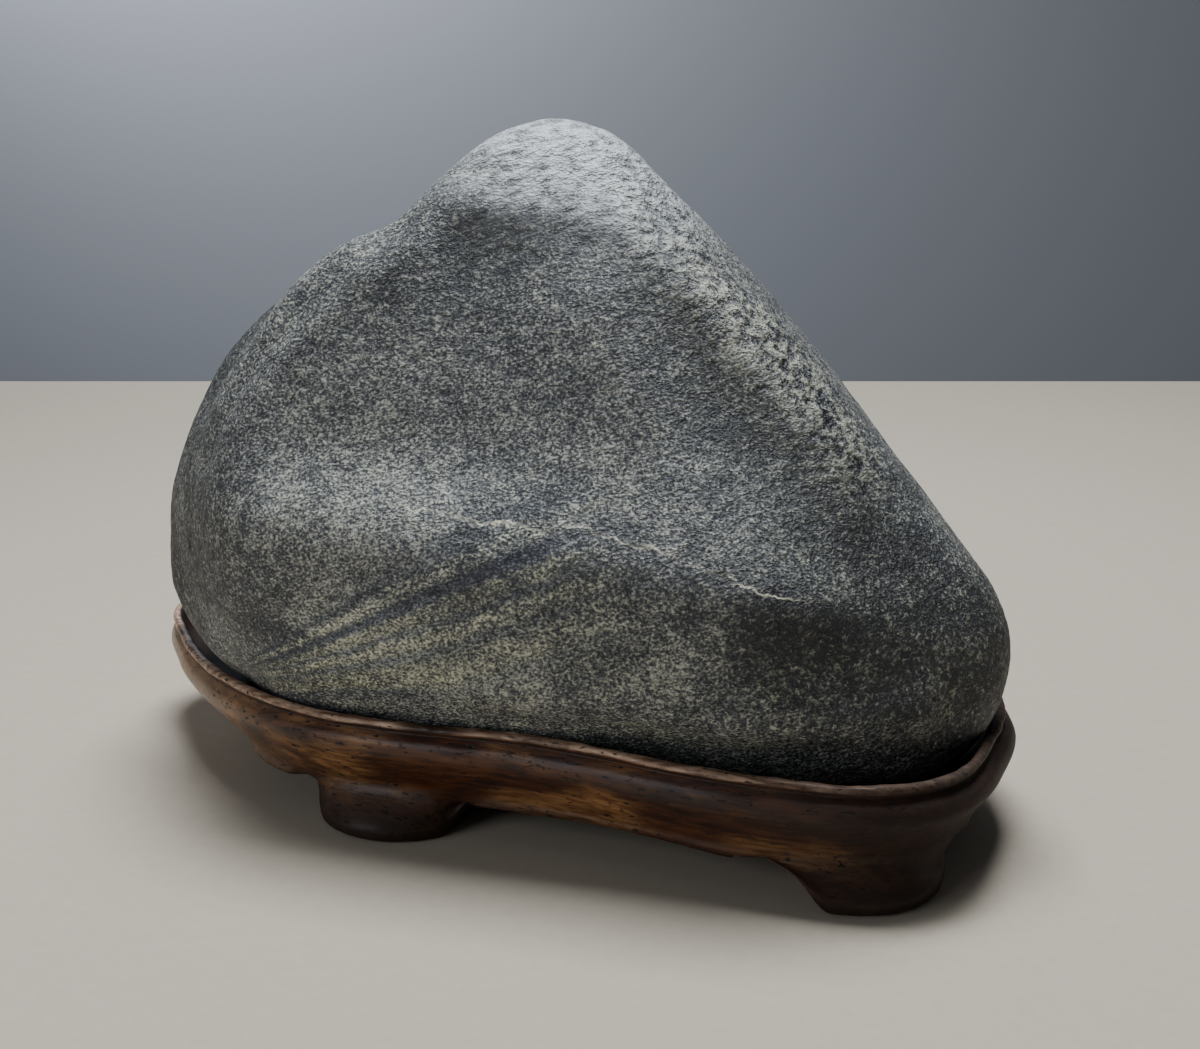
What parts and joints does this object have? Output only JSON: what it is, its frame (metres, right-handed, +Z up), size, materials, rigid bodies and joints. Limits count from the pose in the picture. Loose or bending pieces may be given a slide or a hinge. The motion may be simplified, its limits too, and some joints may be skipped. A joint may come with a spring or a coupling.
{
  "type": "scholars rock",
  "caption": "River-worn viewing stone shaped like a mountain, resting in a carved dark hardwood stand with a beaded rim and low feet",
  "frame": {"origin": "on the table under the middle of the whole object", "axes": "+X along the length towards the stone's low end, +Y to the back, +Z up"},
  "size_m": [0.1902, 0.0948, 0.1338],
  "materials": {
    "stone": "satin, fine grained and water worn",
    "stand_wood": "dark waxed hardwood, semi-gloss, worn lighter on the rim"
  },
  "bodies": {
    "root": {"stone": "stone", "stand": "stand_wood"}
  },
  "joints": []
}
